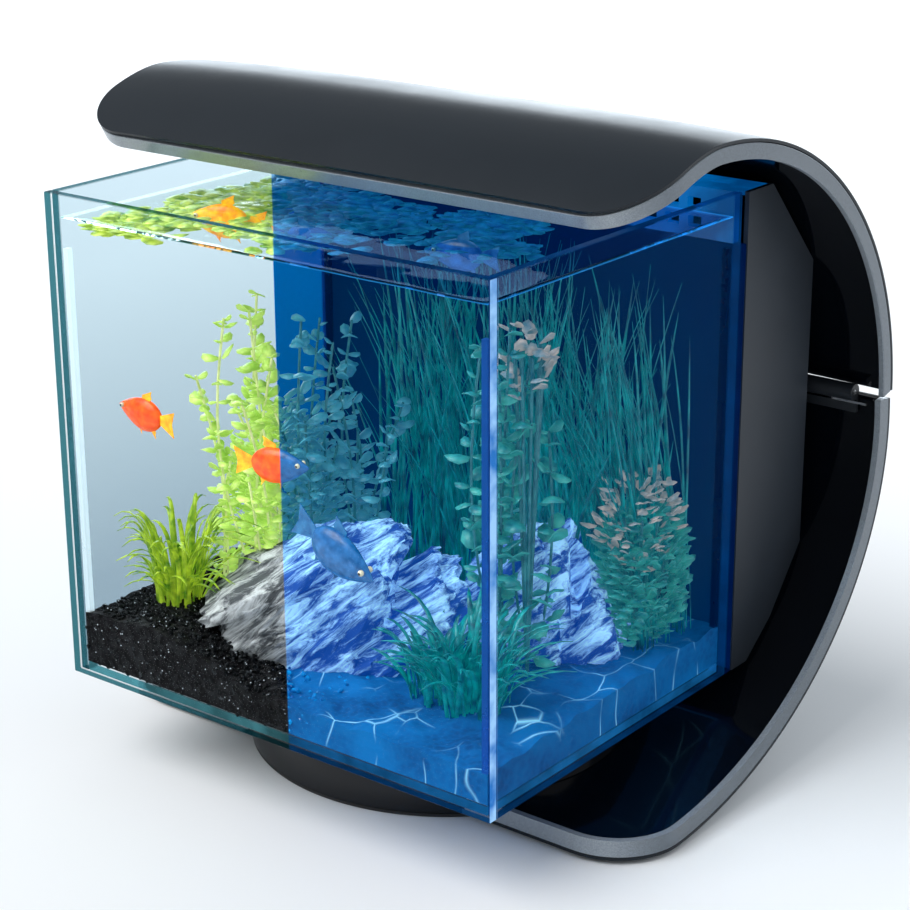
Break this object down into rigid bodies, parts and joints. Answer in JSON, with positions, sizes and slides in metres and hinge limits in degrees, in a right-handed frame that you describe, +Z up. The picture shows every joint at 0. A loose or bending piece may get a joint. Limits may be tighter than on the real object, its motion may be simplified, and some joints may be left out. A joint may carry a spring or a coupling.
{
  "type": "small glass aquarium with a tilting lamp hood",
  "caption": "Rimless glass tank on a round pedestal inside a C-shaped arch; the lamp arm tilts back on a hinge behind the built-in filter column.",
  "frame": {"origin": "on the table under the middle of the whole object's bounding box", "axes": "+X to the object's right seen from the front, +Y to the rear (the glass front faces -Y), +Z up"},
  "size_m": [0.34, 0.2937, 0.3381],
  "materials": {
    "background_film": "dark blue printed film",
    "ballast_plate_left": "stainless steel",
    "ballast_plate_right": "stainless steel",
    "basket_shelf": "matte black moulding",
    "blue_led_board": "circuit board with light-emitting diodes",
    "cable_gland": "black rubber",
    "column_back_cover": "gloss black moulding",
    "column_divider": "matte black moulding",
    "column_side_panel_left": "matte slate grey moulding",
    "column_side_panel_right": "matte slate grey moulding",
    "column_top_plate": "matte black moulding",
    "cushion_mat": "black closed-cell foam",
    "filter_basket": "matte black moulding",
    "filter_sponge": "open-cell filter sponge",
    "gravel_bed": "black aquarium gravel and sand",
    "hinge_pin": "stainless steel",
    "hinge_trim_strip": "bright strip",
    "hood_edge_trim": "silver-painted plastic",
    "hood_hinge_leaf": "matte black moulding",
    "hood_inner_liner": "gloss black moulding",
    "hood_outer_shell": "satin to gloss black moulding",
    "impeller": "white moulding",
    "impeller_shaft": "stainless steel",
    "lamp_cover": "gloss black moulding",
    "lamp_driver_board": "circuit board with light-emitting diodes",
    "lamp_lens": "milky diffuser",
    "lamp_spacer_left": "matte black moulding",
    "lamp_spacer_right": "matte black moulding",
    "lamp_tray": "gloss black moulding",
    "large_stone": "grey slate",
    "mode_button": "silver-painted plastic",
    "mode_switch": "matte black moulding",
    "outlet_nozzle": "matte black moulding",
    "outlet_riser": "matte black moulding",
    "overflow_grille": "matte black moulding",
    "pedestal_drum": "gloss black moulding",
    "pedestal_foot_ring": "black rubber",
    "pump_body": "matte black moulding",
    "pump_cradle": "black rubber",
    "pump_intake_cover": "matte black moulding",
    "rubber_foot_left": "black rubber",
    "rubber_foot_right": "black rubber",
    "silicone_seams": "clear silicone sealant",
    "small_stone": "grey slate",
    "stand_edge_trim_left": "silver-painted plastic",
    "stand_edge_trim_right": "silver-painted plastic",
    "stand_hinge_leaf_left": "matte black moulding",
    "stand_hinge_leaf_right": "matte black moulding",
    "stand_inner_liner": "gloss black moulding",
    "stand_outer_shell": "satin to gloss black moulding",
    "tank_bottom_pane": "clear float glass with teal edges",
    "tank_front_pane": "clear float glass with teal edges",
    "tank_left_pane": "clear float glass with teal edges",
    "tank_rear_pane": "clear float glass with teal edges",
    "tank_right_pane": "clear float glass with teal edges",
    "white_led_board": "circuit board with light-emitting diodes"
  },
  "bodies": {
    "stand_and_tank": {"background_film": "background_film", "ballast_plate_left": "ballast_plate_left", "ballast_plate_right": "ballast_plate_right", "basket_shelf": "basket_shelf", "cable_gland": "cable_gland", "column_back_cover": "column_back_cover", "column_divider": "column_divider", "column_side_panel_left": "column_side_panel_left", "column_side_panel_right": "column_side_panel_right", "column_top_plate": "column_top_plate", "cushion_mat": "cushion_mat", "filter_basket": "filter_basket", "filter_sponge": "filter_sponge", "gravel_bed": "gravel_bed", "hinge_pin": "hinge_pin", "hinge_trim_strip": "hinge_trim_strip", "impeller_shaft": "impeller_shaft", "large_stone": "large_stone", "outlet_riser": "outlet_riser", "overflow_grille": "overflow_grille", "pedestal_drum": "pedestal_drum", "pedestal_foot_ring": "pedestal_foot_ring", "pump_body": "pump_body", "pump_cradle": "pump_cradle", "pump_intake_cover": "pump_intake_cover", "rubber_foot_left": "rubber_foot_left", "rubber_foot_right": "rubber_foot_right", "silicone_seams": "silicone_seams", "small_stone": "small_stone", "stand_edge_trim_left": "stand_edge_trim_left", "stand_edge_trim_right": "stand_edge_trim_right", "stand_hinge_leaf_left": "stand_hinge_leaf_left", "stand_hinge_leaf_right": "stand_hinge_leaf_right", "stand_inner_liner": "stand_inner_liner", "stand_outer_shell": "stand_outer_shell", "tank_bottom_pane": "tank_bottom_pane", "tank_front_pane": "tank_front_pane", "tank_left_pane": "tank_left_pane", "tank_rear_pane": "tank_rear_pane", "tank_right_pane": "tank_right_pane"},
    "hood": {"hood_outer_shell": "hood_outer_shell", "hood_edge_trim": "hood_edge_trim", "hood_inner_liner": "hood_inner_liner", "hood_hinge_leaf": "hood_hinge_leaf", "lamp_tray": "lamp_tray", "lamp_cover": "lamp_cover", "lamp_lens": "lamp_lens", "lamp_spacer_right": "lamp_spacer_right", "lamp_spacer_left": "lamp_spacer_left", "white_led_board": "white_led_board", "blue_led_board": "blue_led_board", "lamp_driver_board": "lamp_driver_board", "mode_switch": "mode_switch"},
    "button": {"mode_button": "mode_button"},
    "impeller_rotor": {"impeller": "impeller"},
    "nozzle": {"outlet_nozzle": "outlet_nozzle"}
  },
  "joints": [
    {"name": "hood_hinge", "type": "hinge", "parent": "stand_and_tank", "child": "hood", "pos_m": [0, 0.13465, 0.1775], "axis": [-1, 0, 0], "range_deg": [0, 24]},
    {"name": "mode_button_press", "type": "slide", "parent": "hood", "child": "button", "axis": [0, 0, 1], "range_m": [0, 0.0012], "stiffness_N_per_m": 300},
    {"name": "impeller_spin", "type": "hinge", "parent": "stand_and_tank", "child": "impeller_rotor", "pos_m": [0.045, 0.0675, 0.112], "axis": [0, 1, 0], "continuous": true},
    {"name": "nozzle_swivel", "type": "hinge", "parent": "stand_and_tank", "child": "nozzle", "pos_m": [0.045, 0.04685, 0.281], "axis": [0, 1, 0], "range_deg": [-90, 90]}
  ]
}
